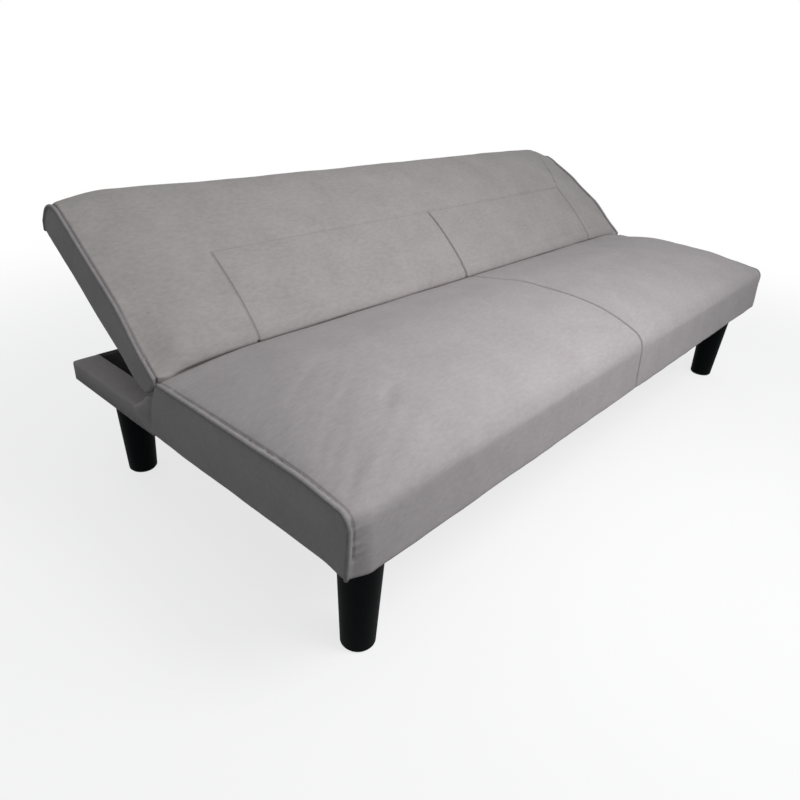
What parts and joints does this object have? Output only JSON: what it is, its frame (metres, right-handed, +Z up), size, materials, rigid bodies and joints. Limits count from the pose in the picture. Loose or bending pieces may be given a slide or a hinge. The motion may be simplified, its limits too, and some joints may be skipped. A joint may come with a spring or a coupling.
{
  "type": "sofa bed",
  "caption": "Padded sofa bed whose back folds down on notched hinges to lie level with the seat, on a low fabric-covered base with tapered legs.",
  "frame": {"origin": "middle of the footprint, on the floor", "axes": "+Z up, +X along the length to the right of someone facing the sofa, front towards -Y"},
  "size_m": [1.6904, 0.8268, 0.5821],
  "materials": {
    "cover_grey": "short suede pile",
    "piping_grey": "short suede pile",
    "foam": "open foam",
    "lining_black": "matte nonwoven",
    "timber": "sawn softwood",
    "leg_black": "satin black",
    "glide_black": "matte",
    "hinge_steel": "satin",
    "bolt_steel": "zinc plated"
  },
  "bodies": {
    "base": {"base_front_rail": "timber", "base_mid_rail": "timber", "base_rear_rail": "timber", "base_front_beam": "timber", "base_rear_beam": "timber", "base_end_rail_left": "timber", "base_end_rail_right": "timber", "seat_deck": "timber", "seat_foam": "foam", "seat_cover": "cover_grey", "base_wrap_left": "cover_grey", "base_wrap_right": "cover_grey", "seat_piping_left": "piping_grey", "seat_piping_right": "piping_grey", "base_lining": "lining_black", "dust_sheet": "lining_black", "leg_front_left": "leg_black", "leg_front_right": "leg_black", "leg_rear_left": "leg_black", "leg_rear_right": "leg_black", "glide_front_left": "glide_black", "glide_front_right": "glide_black", "glide_rear_left": "glide_black", "glide_rear_right": "glide_black", "hinge_bracket_left": "hinge_steel", "hinge_bracket_right": "hinge_steel", "leg_bolts": "bolt_steel", "bracket_bolts": "bolt_steel", "hinge_pivot_left": "bolt_steel", "hinge_pivot_right": "bolt_steel"},
    "back": {"back_bottom_rail": "timber", "back_top_rail": "timber", "back_centre_post": "timber", "back_stile_left": "timber", "back_stile_right": "timber", "back_deck": "timber", "back_foam": "foam", "back_cover": "cover_grey", "back_piping_left": "piping_grey", "back_piping_right": "piping_grey", "back_lining": "lining_black", "hinge_arm_left": "hinge_steel", "hinge_arm_right": "hinge_steel", "pawl_pin_left": "bolt_steel", "pawl_pin_right": "bolt_steel", "arm_bolts": "bolt_steel"},
    "pawl_left": {"pawl_left": "hinge_steel"},
    "pawl_right": {"pawl_right": "hinge_steel"}
  },
  "joints": [
    {"name": "back_fold", "type": "hinge", "parent": "base", "child": "back", "pos_m": [0, 0.09893, 0.347], "axis": [-1, 0, 0], "range_deg": [-45.4, 36.6]},
    {"name": "pawl_left_swing", "type": "hinge", "parent": "back", "child": "pawl_left", "pos_m": [-0.78525, 0.14903, 0.36676], "axis": [1, 0, 0], "range_deg": [0, 9]},
    {"name": "pawl_right_swing", "type": "hinge", "parent": "back", "child": "pawl_right", "pos_m": [0.78525, 0.14903, 0.36676], "axis": [1, 0, 0], "range_deg": [0, 9]}
  ],
  "couplings": [
    {"joint": "pawl_right_swing", "follows": "pawl_left_swing", "ratio": 1}
  ]
}
